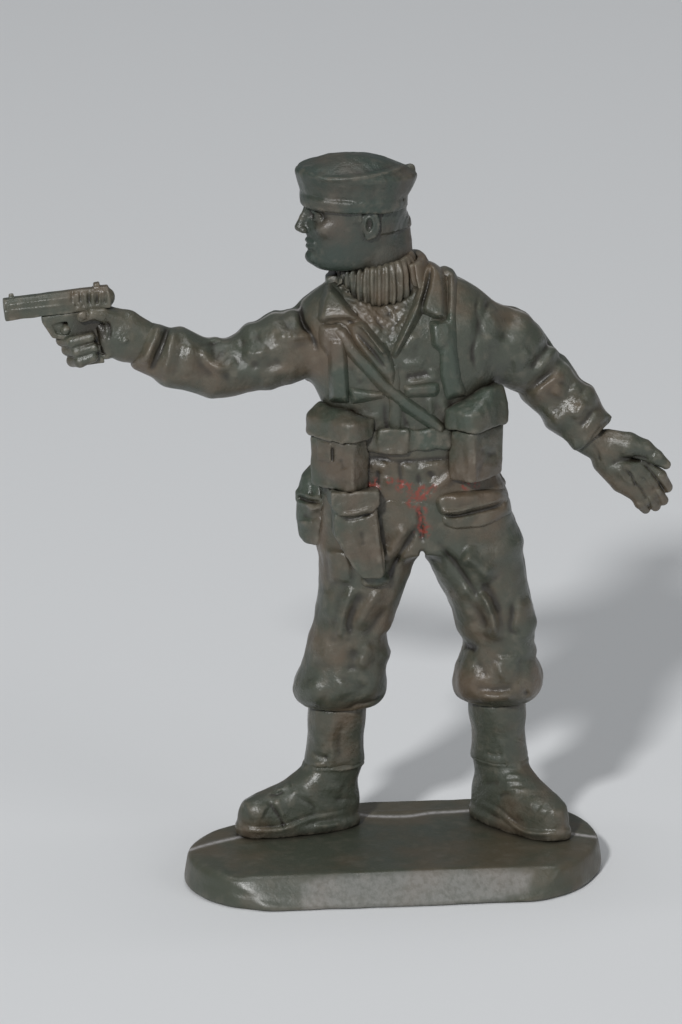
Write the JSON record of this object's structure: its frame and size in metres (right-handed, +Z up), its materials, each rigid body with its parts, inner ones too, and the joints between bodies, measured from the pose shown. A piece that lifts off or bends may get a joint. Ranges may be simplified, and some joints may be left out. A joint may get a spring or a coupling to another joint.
{
  "type": "toy soldier figure",
  "caption": "Moulded toy soldier standing with feet apart on an oval base, aiming a pistol with one arm and reaching back with the other.",
  "frame": {"origin": "middle of the underside of the base", "axes": "+Z up, the figure's chest faces -Y, its right hand and the pistol point along -X"},
  "size_m": [0.054, 0.0198, 0.0591],
  "materials": {
    "figure_plastic": "dark olive polythene, semi-gloss, with brown and grey mottling",
    "webbing_plastic": "the same olive polythene, slightly duller where the moulding is fine",
    "base_plastic": "the same olive polythene, smooth on top and scuffed where the runner was cut off"
  },
  "bodies": {
    "root": {"base": "base_plastic", "right_sole": "figure_plastic", "left_sole": "figure_plastic", "right_boot": "figure_plastic", "left_boot": "figure_plastic", "right_anklet": "figure_plastic", "left_anklet": "figure_plastic", "right_trouser_leg": "figure_plastic", "left_trouser_leg": "figure_plastic", "trouser_seat": "figure_plastic", "jacket_skirt": "figure_plastic", "jacket": "figure_plastic", "pullover": "figure_plastic", "right_lapel": "figure_plastic", "left_lapel": "figure_plastic", "collar": "figure_plastic", "front_placket": "figure_plastic", "right_chest_flap": "figure_plastic", "left_chest_flap": "figure_plastic", "roll_neck": "figure_plastic", "head": "figure_plastic", "cap_band": "figure_plastic", "cap_crown": "figure_plastic", "right_sleeve": "figure_plastic", "left_sleeve": "figure_plastic", "right_hand": "figure_plastic", "left_hand": "figure_plastic", "pistol_slide": "figure_plastic", "pistol_frame": "figure_plastic", "belt": "webbing_plastic", "belt_buckle": "webbing_plastic", "right_brace": "webbing_plastic", "left_brace": "webbing_plastic", "cross_strap": "webbing_plastic", "right_pouch": "webbing_plastic", "left_pouch": "webbing_plastic", "right_pouch_lid": "webbing_plastic", "left_pouch_lid": "webbing_plastic", "holster": "webbing_plastic", "holster_flap": "webbing_plastic", "water_bottle": "webbing_plastic", "bottle_carrier": "webbing_plastic", "map_pocket": "figure_plastic", "map_pocket_flap": "figure_plastic"}
  },
  "joints": []
}
